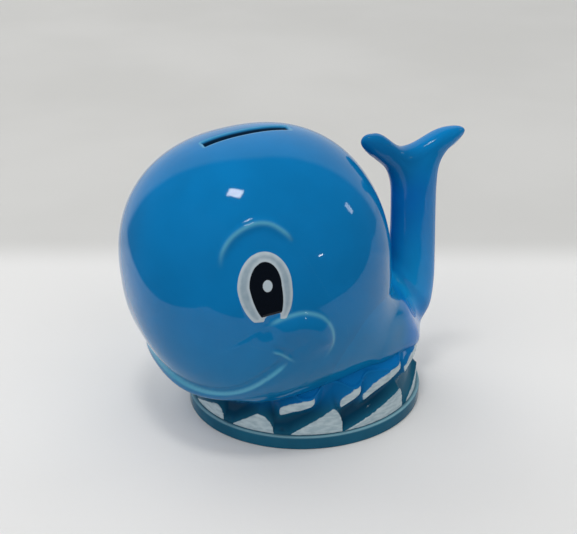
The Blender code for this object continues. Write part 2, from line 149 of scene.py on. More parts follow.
def add_bump(tree, shader, height, strength, distance):
    """Tilts a shader's surface by a height in metres."""
    made = add_node(
        tree, "ShaderNodeBump", None, {"Strength": strength, "Distance": distance, "Height": height}
    )
    tree.links.new(made.outputs[0], shader.inputs["Normal"])


def lamp(name, azimuth, elevation, distance, size, power, tone, aim, mirrored=True):
    """A soft rectangular lamp at a bearing and distance from the point that it is aimed at."""
    light = bpy.data.lights.new(name, "AREA")
    light.shape = "RECTANGLE"
    light.size, light.size_y = size
    light.energy = power
    light.color = tone
    obj = bpy.data.objects.new(name, light)
    heading = direction(azimuth, elevation)
    obj.location = Vector(np.asarray(aim) * MM + heading * distance)
    obj.rotation_euler = Vector(heading).to_track_quat("Z", "Y").to_euler()
    obj.visible_camera = False
    obj.visible_glossy = mirrored
    bpy.context.scene.collection.objects.link(obj)


bpy.context.scene.view_settings.view_transform = "Standard"
line_of_sight = direction(VIEW_AZIMUTH, VIEW_ELEVATION)
camera_data = bpy.data.cameras.new("photo_camera")
camera_data.lens = VIEW_LENS
camera_data.sensor_width = 36.0
camera = bpy.data.objects.new("photo_camera", camera_data)
camera.location = Vector((VIEW_TARGET + VIEW_DISTANCE * line_of_sight) * MM)
camera.rotation_euler = Vector(line_of_sight).to_track_quat("Z", "Y").to_euler()
bpy.context.scene.collection.objects.link(camera)
bpy.context.scene.camera = camera

lamp("soft_ceiling", *SOFT_CEILING, VIEW_TARGET, mirrored=False)
for azimuth, power in SIDE_PANELS:
    hung = azimuth, PANEL_LIFT, PANEL_DISTANCE, PANEL_SIZE
    lamp(f"panel_{azimuth:.0f}", *hung, power, WHITE_LIGHT, VIEW_TARGET, mirrored=False)
for lamp_name, settings in GLINTS.items():
    lamp(lamp_name, *settings)

world = bpy.data.worlds.new("dim_room")
world.use_nodes = True
tree = world.node_tree
bearing = add_node(tree, "ShaderNodeTexCoord").outputs["Generated"]
to_wall = tuple(direction(VIEW_AZIMUTH + 180.0, WALL_LIFT))
behind = add_node(tree, "ShaderNodeVectorMath", {"operation": "DOT_PRODUCT"}, {0: bearing, 1: to_wall})
pale = ramp(tree, behind.outputs["Value"], 0.0, 1.0, *WALL_EDGE)
tree.links.new(mix_colour(tree, pale, ROOM_TONE, WALL_TONE), tree.nodes["Background"].inputs[0])
bpy.context.scene.world = world

cloth_corners = [
    (CLOTH_LEFT, -CLOTH_FRONT, 0.0),
    (CLOTH_LEFT, CLOTH_FAR, 0.0),
    (-CLOTH_FAR, CLOTH_FAR, 0.0),
    (-CLOTH_FAR, -CLOTH_FRONT, 0.0),
]
cloth_mesh = bpy.data.meshes.new("cloth")
cloth_mesh.from_pydata((np.array(cloth_corners) * MM).tolist(), [], [(0, 1, 2, 3)])
cloth = bpy.data.objects.new("cloth", cloth_mesh)
bpy.context.scene.collection.objects.link(cloth)
cloth_material, tree, shader, place = new_material("pale_cloth")
across_view = add_node(
    tree, "ShaderNodeVectorMath", {"operation": "DOT_PRODUCT"}, {0: place, 1: tuple(-line_of_sight)}
)
# Farther back along the view the cloth is painted greyer, clouded by noise: painted shade standing in for a
# dimmer backdrop.
farness = ramp(tree, across_view.outputs["Value"], 0.0, 1.0, *CLOTH_SHADE_STARTS)
far_shade_share = product(tree, farness, ramp(tree, noise(tree, place, 5.0, 3.0), 0.8, 1.0, 0.3, 0.7))
tree.links.new(mix_colour(tree, far_shade_share, CLOTH_PALE, CLOTH_FAR_SHADE), shader.inputs["Base Color"])
shader.inputs["Roughness"].default_value = 0.95
shader.inputs["Specular IOR Level"].default_value = 0.1
add_bump(tree, shader, noise(tree, place, 420.0), 0.15, 0.0004)
cloth.data.materials.append(cloth_material)

# Body: a hollow slip-cast ball, blunt and a little nose-down, with the face moulded in low relief, a
# coin slot cut along the crown and an opening in the belly. Clear blue glaze runs thin on the ridges.
BODY_MIDDLE = np.array([0.0, -20.18, 67.2])
BODY_HALF = (52.0, 53.8, 53.5)
BODY_PITCH = math.radians(4.5)
BLUNTNESS = 2.3
BELLY_FULLNESS = 3.0
BODY_WALL = 4.5
SLOT_HALF_WIDTH = 2.3
SLOT_FRONT = -40.68
SLOT_REAR = -5.68
SLOT_LIP = 0.9
SLOT_LIP_DROP = 0.5
BELLY_OPENING = (math.radians(85), math.radians(128), math.radians(26))
INNER_STEP = 3
NOSE_LINES = 190
SIDE_LINES = 164
BLUE = (0.002, 0.204, 0.520, 1.0)
BLUE_STEM = (0.002, 0.170, 0.540, 1.0)
BLUE_HEEL_PAINTED_LIGHT = (0.004, 0.285, 0.640, 1.0)
BLUE_LOW = (0.003, 0.165, 0.360, 1.0)
BLUE_POOL_SHADE = (0.003, 0.155, 0.440, 1.0)
THIN_GLAZE_AND_SHEEN = (0.110, 0.420, 0.600, 1.0)
EYE_WHITE = (0.550, 0.645, 0.700, 1.0)
EYE_GREY = (0.310, 0.415, 0.490, 1.0)
EYE_BLACK = (0.0015, 0.0015, 0.0015, 1.0)
SLOT_SHADE = (0.002, 0.020, 0.055, 1.0)
BISQUE = (0.62, 0.58, 0.52, 1.0)
GLAZE_WAVES = 95.0
# Where the colour changes, in metres: how far back the stem starts and its front ends, how high the stem and
# its heel end, how low and wide the heel is, and the heights over which the low glaze and the pool end. The
# heel's lighter blue is painted light, and the pool's darker blue is glaze pooling with painted shade.
STEM_STARTS = (0.030, 0.042)
STEM_FRONT_ENDS = (0.048, 0.060)
STEM_ENDS = (0.085, 0.103)
HEEL_ENDS = (0.045, 0.090)
HEEL_STARTS = (0.028, 0.040)
HEEL_SIDES = (0.009, 0.020)
LOW_ENDS = (0.030, 0.080)
POOL_SHADE_ENDS = (0.020, 0.034)
WATER_SLOPE = 0.08
# Eggs on the eye's chart: middle, half width, top, bottom and lean.
EYE_AT = (73.4, 11.8)
EYE_EGG = ((0.0, -0.4), 10.1, 13.4, 15.6, 0.10)
PUPIL_EGG = ((0.2, 0.2), 5.95, 9.2, 14.6, 0.15)
DOT_EGG = ((0.9, 0.5), 1.8, 2.25, 2.25, 0.0)
EYE_STEP = 0.3
# Lines of the face as bearings on the skin, with the heights and half widths of their relief.
BROW = ((55.4, 18.0), (55.7, 25.0), (60.2, 32.0), (68.8, 36.6), (77.2, 36.6), (84.2, 32.4), (87.2, 28.3))
BROW_RIDGE = (1.1, 1.5)
BROW_HOLLOW = (0.35, 3.0)
CHEEK_SWELL = (2.3, 8.5)
LIP_SWELL = (1.9, 5.0)
SMILE_GROOVE = 0.7
SMILE_RIDGE = (0.4, 1.3)
TICK_RIDGE = (0.5, 0.7)
TICK_HOLLOW = (0.5, 1.2)
CHEEK = (
    (73.6, -5.6),
    (78.5, -2.7),
    (87.0, -1.0),
    (93.0, -2.2),
    (98.4, -5.3),
    (102.2, -10.6),
    (103.5, -16.4),
    (102.4, -21.0),
    (99.5, -26.0),
)
SMILE = (
    (0.0, -38.2),
    (16.0, -38.6),
    (33.0, -39.2),
    (46.0, -39.2),
    (57.0, -37.6),
    (66.5, -34.1),
    (74.6, -29.0),
    (83.4, -22.4),
)
TICK = ((75.6, -16.2), (79.3, -17.7), (82.2, -20.1), (87.0, -23.9))


def skin_radius(heading, grow=0.0):
    """Distance from the body's middle to its skin along each unit heading, for a skin moved out by grow.

    In the pitched frame the skin is where (across^f + up^f)^(b/f) + ahead^b is 1, each measured in half
    sizes, with b the bluntness and f 2 above the middle and the belly's fullness below it.
    """
    across = np.abs(heading[..., 0]) / (BODY_HALF[0] + grow)
    ahead = -heading[..., 1] * math.cos(BODY_PITCH) - heading[..., 2] * math.sin(BODY_PITCH)
    up = -heading[..., 1] * math.sin(BODY_PITCH) + heading[..., 2] * math.cos(BODY_PITCH)
    fullness = np.where(up >= 0, 2.0, BELLY_FULLNESS)
    ring = across**fullness + (np.abs(up) / (BODY_HALF[2] + grow)) ** fullness
    powers = ring ** (BLUNTNESS / fullness) + (np.abs(ahead) / (BODY_HALF[1] + grow)) ** BLUNTNESS
    return powers ** (-1 / BLUNTNESS)


def unit(vectors):
    """Vectors made one long."""
    return vectors / np.linalg.norm(vectors, axis=-1, keepdims=True)


def on_skin(points, grow=0.0):
    """Points moved along their headings from the body's middle onto its skin, or grow outside it."""
    heading = unit(points - BODY_MIDDLE)
    return BODY_MIDDLE + heading * (skin_radius(heading) + grow)[..., None]


def body_gap(points):
    """How far points are outside the body's skin, and the way straight out of it.

    The gap along the heading is divided by the length of its slope, taken by small steps each way.
    """
    def along_heading(where):
        reach = np.linalg.norm(where - BODY_MIDDLE, axis=-1)
        return reach - skin_radius((where - BODY_MIDDLE) / reach[..., None])

    step = 0.05
    steps = step * np.eye(3)
    rises = [along_heading(points + move) - along_heading(points - move) for move in steps]
    slope = np.stack(rises, axis=-1) / (2 * step)
    steepness = np.linalg.norm(slope, axis=-1)
    return along_heading(points) / steepness, slope / steepness[..., None]


def smooth_rows(rows, between):
    """Rows of a table with `between` steps from each to the next, on a cubic curve through all of them."""
    rows = np.asarray(rows, float)
    before = np.vstack([2 * rows[0] - rows[1], rows[:-1]])
    after = np.vstack([rows[1:], 2 * rows[-1] - rows[-2]])
    slope = (after - before) / 2
    share = np.linspace(0, 1, between, endpoint=False)[None, :, None]
    cubic = 2 * share**3 - 3 * share**2
    made = (
        (1 + cubic) * rows[:-1, None]
        - cubic * rows[1:, None]
        + (share**3 - 2 * share**2 + share) * slope[:-1, None]
        + (share**3 - share**2) * slope[1:, None]
    )
    return np.vstack([made.reshape(-1, rows.shape[1]), rows[-1:]])


def step_up(value, low, high):
    """0 below low, 1 above high, and a smooth rise between."""
    share = np.clip((value - low) / (high - low), 0, 1)
    return share * share * (3 - 2 * share)


def swell(value, low, high):
    """0 below low, 1 above high, and a quarter sine between, so that it starts with a crease."""
    return np.sin(math.pi / 2 * np.clip((value - low) / (high - low), 0, 1))


def hump(value, width):
    """Bell curve, 1 at 0."""
    return np.exp(-((value / width) ** 2))


def beside_line(points, bearings, start, stop):
    """Signed distance from a line drawn on the skin, share along it, and strength.

    The distance is positive to the line's right from outside. The strength is 1, fading to 0 over the
    given shares at the two ends, and blends the line's parts by how near they are.
    """
    drawn = np.array([BODY_MIDDLE + direction(*bearing) for bearing in smooth_rows(bearings, 8)])
    drawn = on_skin(drawn)
    out = unit(points - BODY_MIDDLE)
    nearest = np.full(points.shape[:-1], np.inf)
    side, share, total, strength = np.zeros((4, *points.shape[:-1]))
    for k, run in enumerate(np.diff(drawn, axis=0)):
        part = np.clip((points - drawn[k]) @ run / (run @ run), 0, 1)
        away = points - drawn[k] - part[..., None] * run
        distance = np.linalg.norm(away, axis=-1)
        closer = distance < nearest
        nearest = np.where(closer, distance, nearest)
        right = np.einsum("...k,...k->...", np.cross(run, out), away)
        side = np.where(closer, np.where(right < 0, -1.0, 1.0), side)
        part_share = (k + part) / (len(drawn) - 1)
        share = np.where(closer, part_share, share)
        nearness = (distance**2 + 0.04) ** -4.0
        fade = step_up(part_share + 1e-6, 0.0, start) * step_up(-part_share, -1.0, -1.0 + stop)
        total = total + nearness
        strength = strength + nearness * fade
    return nearest * side, share, strength / total


def crowded(count, low, high, crowd):
    """Count lines from low to high, closer together where the crowd function is larger."""
    table = np.linspace(low, high, 4000)
    total = np.concatenate([[0], np.cumsum(crowd(table[:-1]))])
    return np.interp(np.linspace(0, total[-1], count), total, table)


def grid_quads(rows, columns, closed_rows=False):
    """Faces of a grid of points that closes round its columns, and round its rows too if asked, by row."""
    row_count = rows if closed_rows else rows - 1
    row, column = np.meshgrid(np.arange(row_count), np.arange(columns), indexing="ij")
    next_row, beside = (row + 1) % rows, (column + 1) % columns
    corners = (row, column), (next_row, column), (next_row, beside), (row, beside)
    return np.stack([r * columns + c for r, c in corners], axis=-1)


def pole_fan(pole, ring):
    """Triangles from one point to a closed ring of points."""
    return np.stack([np.full(len(ring), pole), ring, np.roll(ring, -1)], axis=-1)


def mesh_piece(name, points, *face_groups):
    """A smooth shaded object from points in millimetres and groups of faces."""
    faces = [face for group in face_groups for face in group.reshape(-1, group.shape[-1]).tolist()]
    mesh = bpy.data.meshes.new(name)
    mesh.from_pydata((np.asarray(points) * MM).tolist(), [], faces)
    mesh.update()
    mesh.shade_smooth()
    obj = bpy.data.objects.new(name, mesh)
    bpy.context.scene.collection.objects.link(obj)
    return obj


def set_numbers(mesh, name, *columns_of):
    """Stores up to three numbers at each point of a mesh."""
    made = np.zeros((len(mesh.vertices), 3), np.float32)
    for k, values in enumerate(columns_of):
        made[:, k] = values
    mesh.attributes.new(name, "FLOAT_VECTOR", "POINT").data.foreach_set("vector", made.ravel())


def attribute_parts(tree, name):
    """The three numbers of a mesh attribute, as sockets."""
    stored = add_node(tree, "ShaderNodeAttribute", {"attribute_name": name})
    return add_node(tree, "ShaderNodeSeparateXYZ", None, {0: stored.outputs["Vector"]}).outputs


def line_glow(tree, name, width, strength):
    """Strength of a light line of thin glaze, which on the slot's lip is also a painted highlight: a bell
    curve of the stored distance, times the stored strength.
    """
    parts = attribute_parts(tree, name)
    squared = maths(tree, "POWER", maths(tree, "ABSOLUTE", maths(tree, "DIVIDE", parts[0], width)), 2.0)
    bell = maths(tree, "EXPONENT", maths(tree, "MULTIPLY", squared, -1.0))
    return product(tree, bell, parts[1], strength)


def glaze_surface(tree, shader, place, waves_to_metre):
    """Clear gloss with the slow waviness of a dipped glaze."""
    shader.inputs["Roughness"].default_value = 0.05
    shader.inputs["IOR"].default_value = 1.33
    add_bump(tree, shader, noise(tree, place, waves_to_metre), 0.12, 0.0004)


def clouded(tree, colour, cloud, dark, light):
    """A colour made darker and lighter by a cloudy number."""
    scale = ramp(tree, cloud, dark, light, 0.3, 0.7)
    scaled = add_node(tree, "ShaderNodeVectorMath", {"operation": "SCALE"}, {0: colour, "Scale": scale})
    return scaled.outputs[0]


def blue_glaze(tree, place):
    """Blue that is deep on the tail's stem, lighter at its heel as painted light and dark low on the body,
    and darker at the waterline, where the glaze pools and shade is painted, with slow clouds.
    """
    across, back, up = add_node(tree, "ShaderNodeSeparateXYZ", None, {0: place}).outputs
    behind = ramp(tree, back, 0.0, 1.0, *STEM_STARTS)
    fore_side = product(tree, behind, ramp(tree, back, 1.0, 0.2, *STEM_FRONT_ENDS))
    stem = product(tree, fore_side, ramp(tree, up, 1.0, 0.0, *STEM_ENDS))
    # The heel's lighter blue is painted light that makes up for the shade in the crotch between tail and
    # body.
    heel_height = product(tree, ramp(tree, up, 1.0, 0.0, *HEEL_ENDS), ramp(tree, up, 0.0, 1.0, *HEEL_STARTS))
    heel_width = ramp(tree, maths(tree, "ABSOLUTE", across), 1.0, 0.0, *HEEL_SIDES)
    heel = product(tree, fore_side, heel_height, heel_width)
    above_water = maths(tree, "SUBTRACT", up, product(tree, back, WATER_SLOPE))
    low = product(tree, ramp(tree, above_water, 0.8, 0.0, *LOW_ENDS), maths(tree, "SUBTRACT", 1.0, behind))
    # Near the waterline the glaze pools, and the darker blue there is also painted shade under the body.
    pool_shade = ramp(tree, above_water, 0.7, 0.0, *POOL_SHADE_ENDS)
    base = BLUE
    for part, tone in ((low, BLUE_LOW), (stem, BLUE_STEM), (heel, BLUE_HEEL_PAINTED_LIGHT), (pool_shade, BLUE_POOL_SHADE)):
        base = mix_colour(tree, part, base, tone)
    return clouded(tree, base, noise(tree, place, 42.0, 3.0), 0.94, 1.05)


# The body's grid has its poles at the nose and the rear. Its lines crowd on the face and lie along the
# slot, whose block of faces is left out, as is the block of the belly's opening.
nose_way = np.array([0.0, -math.cos(BODY_PITCH), -math.sin(BODY_PITCH)])
crown_way = np.array([0.0, -math.sin(BODY_PITCH), math.cos(BODY_PITCH)])


def headings(from_nose, round_crown):
    """Unit headings turned from the nose, and round from the crown towards the whale's left."""
    sideways = np.sin(round_crown)[..., None] * np.array([1.0, 0, 0])
    sideways = sideways + np.cos(round_crown)[..., None] * crown_way
    return np.cos(from_nose)[..., None] * nose_way + np.sin(from_nose)[..., None] * sideways


crown_turns = np.linspace(0.6, 2.4, 2000)
crown_headings = headings(crown_turns, 0 * crown_turns)
crown_reach = crown_headings[:, 1] * skin_radius(crown_headings)
slot_ends = np.interp(np.array([SLOT_FRONT, SLOT_REAR]) - BODY_MIDDLE[1], crown_reach, crown_turns)
lip_steps = np.array([0.35, SLOT_LIP]) / BODY_HALF[2]
free_lines = crowded(NOSE_LINES, 0.02, math.pi - 0.02, lambda a: 1 + 1.2 * hump(a - 1.15, 0.75))
near_slot = (np.abs(free_lines[:, None] - slot_ends) < 1.6 * lip_steps[1]).any(1)
nose_lines = np.sort(
    np.concatenate([free_lines[~near_slot], slot_ends, slot_ends[0] - lip_steps, slot_ends[1] + lip_steps])
)
slot_edge = SLOT_HALF_WIDTH / BODY_HALF[2]
lip_lines = np.concatenate([[0.0, slot_edge], slot_edge + lip_steps])
side_lines = crowded(SIDE_LINES, lip_lines[-1] + 0.02, math.pi, lambda a: 1 + 1.1 * hump(a - 1.75, 0.7))
half_lines = np.concatenate([lip_lines, side_lines])
round_lines = np.concatenate([half_lines, -half_lines[-2:0:-1]])
rows, columns = len(nose_lines), len(round_lines)
from_nose = np.repeat(nose_lines[:, None], columns, axis=1)
round_crown = np.repeat(round_lines[None], rows, axis=0)
on_crown = step_up(-np.abs(from_nose - slot_ends.mean()), -0.75, -0.45)
on_crown = on_crown * step_up(-np.abs(round_crown), -0.5, -0.12)
plain_radius = skin_radius(headings(from_nose, 0 * round_crown)) * np.sin(from_nose)
round_crown = round_crown * (1 + on_crown * (BODY_HALF[2] / plain_radius - 1))
heading = headings(from_nose, round_crown)
outer = BODY_MIDDLE + heading * skin_radius(heading)[..., None]
inner = BODY_MIDDLE + heading * skin_radius(heading, -BODY_WALL)[..., None]

# The face is worked out for the left side and mirrored: the eye on a chart laid on the skin at its middle,
# the rest by the distance from lines drawn on the skin.
mirrored = outer.copy()
mirrored[..., 0] = np.abs(mirrored[..., 0])
eye_point = on_skin(BODY_MIDDLE + direction(*EYE_AT))
eye_out = body_gap(eye_point[None])[1][0]
eye_across = unit(np.cross([0, 0, 1], eye_out))
eye_up = np.cross(eye_out, eye_across)
u, v = (mirrored - eye_point) @ eye_across, (mirrored - eye_point) @ eye_up
near_eye = (mirrored - eye_point) @ eye_out > -12


def egg(middle, half, top, bottom, lean):
    """About the distance inside an egg on the eye's chart, which leans as it goes down from its middle."""
    down = np.clip(middle[1] - v, 0, None)
    sideways = (u - middle[0] - lean * down) / half
    upright = (v - middle[1]) / np.where(v > middle[1], top, bottom)
    return (1 - np.sqrt(sideways**2 + upright**2)) * half * 1.15


# The lower lid cuts the eye along a slanting line, and leaves the white two pointed tips.
lower_lid = v + 11.2 - 0.17 * u
left_tip = np.minimum(np.minimum(-(u + 0.7), v + 13.3), 0.64 * (u + 7.4) + 0.77 * (v + 10.7))
right_tip = np.minimum(u - 5.4, v + 12.6)
white_low = np.maximum(lower_lid, np.maximum(left_tip, right_tip))
white_in = np.minimum(egg(*EYE_EGG), white_low)
pupil_in = np.minimum(egg(*PUPIL_EGG), lower_lid)
dot_in = egg(*DOT_EGG)
white_in, pupil_in, dot_in = (np.where(near_eye, part, -9.0) for part in (white_in, pupil_in, dot_in))

brow_side, _, brow_strength = beside_line(mirrored, BROW, 0.25, 0.2)
cheek_side, _, cheek_strength = beside_line(mirrored, CHEEK, 0.12, 0.3)
smile_side, smile_share, smile_strength = beside_line(mirrored, SMILE, 1e-6, 0.07)
tick_side, _, tick_strength = beside_line(mirrored, TICK, 0.2, 0.35)
lip_fullness = smile_strength * (0.35 + 1.15 * step_up(-smile_share, -0.65, -0.2))
smile_groove = step_up(smile_side, -4.4, -2.4) * step_up(-smile_side, -0.1, 0.6)
cheek_form = swell(cheek_side, -0.7, 6.0) * hump(np.clip(cheek_side - 5.0, 0, None), CHEEK_SWELL[1])
lip_form = swell(smile_side, -0.5, 3.2) * hump(np.clip(smile_side - 3.0, 0, None), LIP_SWELL[1])
brow_form = hump(brow_side - 3.5, BROW_HOLLOW[1]) * step_up(brow_side, 0.0, 2.0)
relief = BROW_RIDGE[0] * hump(brow_side, BROW_RIDGE[1]) * brow_strength
relief -= BROW_HOLLOW[0] * brow_form * brow_strength
relief += CHEEK_SWELL[0] * cheek_form * cheek_strength
relief += LIP_SWELL[0] * lip_form * lip_fullness
relief -= SMILE_GROOVE * smile_groove * smile_strength
relief += SMILE_RIDGE[0] * hump(smile_side - 0.4, SMILE_RIDGE[1]) * smile_strength
relief += TICK_RIDGE[0] * hump(tick_side, TICK_RIDGE[1]) * tick_strength
relief -= TICK_HOLLOW[0] * hump(tick_side + 1.6, TICK_HOLLOW[1]) * tick_strength
relief += EYE_STEP * step_up(white_in, -0.6, 0.6)

slot_out_x = np.clip(np.abs(outer[..., 0]) - SLOT_HALF_WIDTH, 0, None)
slot_out_y = np.clip(np.maximum(SLOT_FRONT - outer[..., 1], outer[..., 1] - SLOT_REAR), 0, None)
slot_side = np.where(outer[..., 2] > BODY_MIDDLE[2], np.hypot(slot_out_x, slot_out_y), 99.0)
relief -= SLOT_LIP_DROP * (1 - np.clip(slot_side / SLOT_LIP, 0, 1)) ** 2
relieved = outer + heading * relief[..., None]

# The inner skin keeps every line of the two openings and some of the others.
slot_rows = np.searchsorted(nose_lines, slot_ends - 1e-6)
belly_rows = np.searchsorted(nose_lines, BELLY_OPENING[:2])
belly_half = int(np.sum(half_lines > math.pi - BELLY_OPENING[2])) - 1
middle_column = len(half_lines) - 1
belly_columns = np.arange(middle_column - belly_half, middle_column + belly_half + 1)
opening_rows = np.arange(slot_rows[0], max(slot_rows[1], belly_rows[1]) + 1)
some_rows, some_columns = np.arange(0, rows, INNER_STEP), np.arange(0, columns, INNER_STEP)
inner_rows = np.unique(np.concatenate([some_rows, [rows - 1], opening_rows]))
inner_columns = np.unique(np.concatenate([some_columns, [1, columns - 1], belly_columns]))
inner = inner[np.ix_(inner_rows, inner_columns)]
count = rows * columns
inner_place = np.full((rows, columns), -1)
inner_place[np.ix_(inner_rows, inner_columns)] = count + np.arange(inner.size // 3).reshape(inner.shape[:2])
poles_out = on_skin(BODY_MIDDLE + np.stack([nose_way, -nose_way]))
poles_in = on_skin(BODY_MIDDLE + np.stack([nose_way, -nose_way]), -BODY_WALL)
body_points = np.concatenate([relieved.reshape(-1, 3), inner.reshape(-1, 3), poles_out, poles_in])
quads = grid_quads(rows, columns)


def block_loop(first_row, last_row, first_column, last_column):
    """Grid places round the edge of a block of faces, in order."""
    down, over = np.arange(first_row, last_row), np.arange(first_column, last_column)
    row_list = [down, np.full(len(over), last_row), down[::-1] + 1, np.full(len(over), first_row)]
    column_list = [np.full(len(down), first_column), over, np.full(len(down), last_column), over[::-1] + 1]
    return np.concatenate(row_list) * columns + np.concatenate(column_list) % columns


kept = np.ones(quads.shape[:2], bool)
walls = []
for first_row, last_row, first_column, last_column in (
    (*slot_rows, -1, 1),
    (*belly_rows, middle_column - belly_half, middle_column + belly_half),
):
    kept[first_row:last_row, np.arange(first_column, last_column) % columns] = False
    loop = block_loop(first_row, last_row, first_column, last_column)
    onward = np.roll(loop, -1)
    walls.append(np.stack([inner_place.ravel()[loop], inner_place.ravel()[onward], onward, loop], axis=-1))
inner_kept = kept[np.ix_(inner_rows[:-1], inner_columns)]
inner_quads = count + grid_quads(len(inner_rows), len(inner_columns))[inner_kept]
nose_ring, rear_ring = np.arange(columns), np.arange((rows - 1) * columns, rows * columns)
inner_nose, inner_rear = inner_place[0, inner_columns], inner_place[-1, inner_columns]
last = len(body_points) - 1
whale_body = mesh_piece(
    "whale_body",
    body_points,
    quads[kept][:, ::-1],
    inner_quads,
    *walls,
    pole_fan(last - 3, nose_ring)[:, ::-1],
    pole_fan(last - 2, rear_ring),
    pole_fan(last - 1, inner_nose),
    pole_fan(last, inner_rear)[:, ::-1],
)


def over_skin(values, fill):
    """Numbers for the outer skin's points, and a fill for all the others."""
    made = np.full(len(body_points), fill, float)
    made[:count] = values.ravel()
    return made


def skin_line(name, side, strength):
    """Stores a line's distance and strength."""
    set_numbers(whale_body.data, name, over_skin(side, 0.0), over_skin(strength, 0.0))


set_numbers(whale_body.data, "eye", *(over_skin(part, -9.0) for part in (white_in, pupil_in, dot_in)))
skin_line("brow", brow_side, brow_strength)
skin_line("cheek", cheek_side, cheek_strength)
skin_line("smile", smile_side, smile_strength)
skin_line("tick", tick_side, tick_strength)
# The slot's lip line is thin glaze, and is also a painted highlight.
skin_line("slot", slot_side - 0.6, 1.0 * (slot_side < 6.0))
# Inner points near the slot are marked for painted shade inside it; the rest of the inside is bare bisque.
in_hollow, slot_shade_share = np.zeros((2, len(body_points)))
far_from_slot = (slot_side > 5.0)[np.ix_(inner_rows, inner_columns)].ravel()
in_hollow[count : count + len(far_from_slot)] = far_from_slot
slot_shade_share[count : count + len(far_from_slot)] = ~far_from_slot
set_numbers(whale_body.data, "inside", in_hollow, slot_shade_share)
whale_body.data.set_sharp_from_angle(angle=math.radians(55))

body_material, tree, shader, place = new_material("body_glaze")
colour = blue_glaze(tree, place)
glow = line_glow(tree, "brow", 0.85, 0.8)
for name, width, strength in (
    ("cheek", 0.75, 0.85),
    ("smile", 0.55, 0.95),
    ("tick", 0.55, 0.75),
    ("slot", 0.5, 0.65),
):
    glow = maths(tree, "MAXIMUM", glow, line_glow(tree, name, width, strength))
colour = mix_colour(tree, glow, colour, THIN_GLAZE_AND_SHEEN)
paint = attribute_parts(tree, "eye")
# The eye's white is lighter along its outer edge and next to the pupil, greyer between, with streaks.
from_edge, to_pupil = ramp(tree, paint[0], 0.0, 0.8, 0.4, 1.8), ramp(tree, paint[1], 0.0, -0.8, -1.5, -0.3)
streaks = maths(tree, "SUBTRACT", noise(tree, place, 330.0, 3.0), 0.5)
white_greying = maths(tree, "ADD", maths(tree, "ADD", from_edge, to_pupil), streaks)
white = mix_colour(tree, white_greying, EYE_WHITE, EYE_GREY)
for layer, paint_colour in ((0, white), (1, EYE_BLACK), (2, EYE_WHITE)):
    colour = mix_colour(tree, ramp(tree, paint[layer], 0.0, 1.0, -0.10, 0.10), colour, paint_colour)
inside = attribute_parts(tree, "inside")
# Inside the slot the glaze is painted nearly black: painted shade.
colour = mix_colour(tree, ramp(tree, inside[1], 0.0, 1.0, -0.05, 0.18), colour, SLOT_SHADE)
colour = mix_colour(tree, inside[0], colour, BISQUE)
tree.links.new(colour, shader.inputs["Base Color"])
glaze_surface(tree, shader, place, GLAZE_WAVES)
whale_body.data.materials.append(body_material)
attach(whale_body, "bank")
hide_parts("body_shell")

# Tail: cast apart and luted to the back of the body with slip, then smoothed so that its root runs into
# the body without a seam. It turns upright at the heel and ends in two rounded flukes.
TAIL_SHIFT = 2.12
TAIL_BEHIND = 49.5
TAIL_HEIGHT = 112.5
ROOT_WIDTH = 82.0
ROOT_UNDER = 19.5
CROTCH_HEIGHT = 50.5
HEEL_HEIGHT = 32.0
STEM_DEPTH = 20.6
STEM_THICKNESS = 13.8
FLUKE_SPAN = 47.8
FLUKE_AHEAD = 1.4
NOTCH_AT = 0.16
NOTCH_HEIGHT = 105.1
FRONT_LOBE = (112.5, 0.74, 3.2, 0.16)
REAR_LOBE = (111.2, -0.70, 2.5, 0.22)
ROOT_AHEAD = 1.86
TAIL_ROUND = 160
WELD_REACH = 22.0
CROTCH_REACH = 3.5
WALL_REACH = 9.0
CROTCH_FLARE = 6.0
CAP_DEPTH = 5.5
WELD_BEND = 0.6
WELD_SINK = 0.25
WELD_SMOOTHING = 8
WELD_MARCH = 10
BLUE_FLUKE = (0.002, 0.145, 0.380, 1.0)
FLUKE_FRONT_ENDS = (0.044, 0.056)
FLUKE_STARTS = (0.084, 0.100)
round_tail = np.arange(TAIL_ROUND)
even_turn = 2 * math.pi * round_tail / TAIL_ROUND
tail_turn = even_turn + 0.7 * np.sin(even_turn)


def tail_table():
    """Rows from the root to the flukes: front edge ahead and up, rear edge ahead and up, half thickness."""
    back, inside = -TAIL_BEHIND, ROOT_AHEAD
    deep, thin = STEM_DEPTH / 2, STEM_THICKNESS / 2
    root, reach = ROOT_WIDTH / 2, FLUKE_SPAN / 2
    under, crotch, heel = ROOT_UNDER, CROTCH_HEIGHT, HEEL_HEIGHT
    fall, rise = heel - under, TAIL_HEIGHT - heel
    run = back - inside
    return [
        (inside, crotch + 0.9 * deep, inside, under + 0.7 * fall, 0.98 * root),
        (inside + 0.31 * run, crotch + 0.63 * deep, inside + 0.31 * run, under + 0.26 * fall, root),
        (inside + 0.56 * run, crotch + 0.24 * deep, inside + 0.62 * run, under, 0.82 * root),
        (back + 1.55 * deep, crotch, inside + 0.9 * run, under + 0.08 * fall, 0.62 * root),
        (back + 1.22 * deep, crotch + 0.1 * deep, back - 0.4 * deep, under + 0.42 * fall, 1.5 * thin),
        (back + 1.06 * deep, crotch + 0.48 * deep, back - 0.89 * deep, heel, 1.33 * thin),
        (back + deep, crotch + 1.07 * deep, back - 1.05 * deep, heel + 0.13 * rise, 1.2 * thin),
        (back + 0.98 * deep, heel + 0.47 * rise, back - 1.04 * deep, heel + 0.33 * rise, 1.06 * thin),
        (back + deep, heel + 0.6 * rise, back - 0.98 * deep, heel + 0.55 * rise, thin),
        (back + 1.06 * deep, heel + 0.72 * rise, back - 0.96 * deep, heel + 0.73 * rise, 0.97 * thin),
        (back + 0.58 * reach, heel + 0.81 * rise, back - 0.46 * reach, heel + 0.81 * rise, 0.9 * thin),
        (back + 0.77 * reach, heel + 0.868 * rise, back - 0.585 * reach, heel + 0.868 * rise, 0.82 * thin),
        (back + 0.9 * reach, heel + 0.902 * rise, back - 0.73 * reach, heel + 0.902 * rise, 0.78 * thin),
    ]


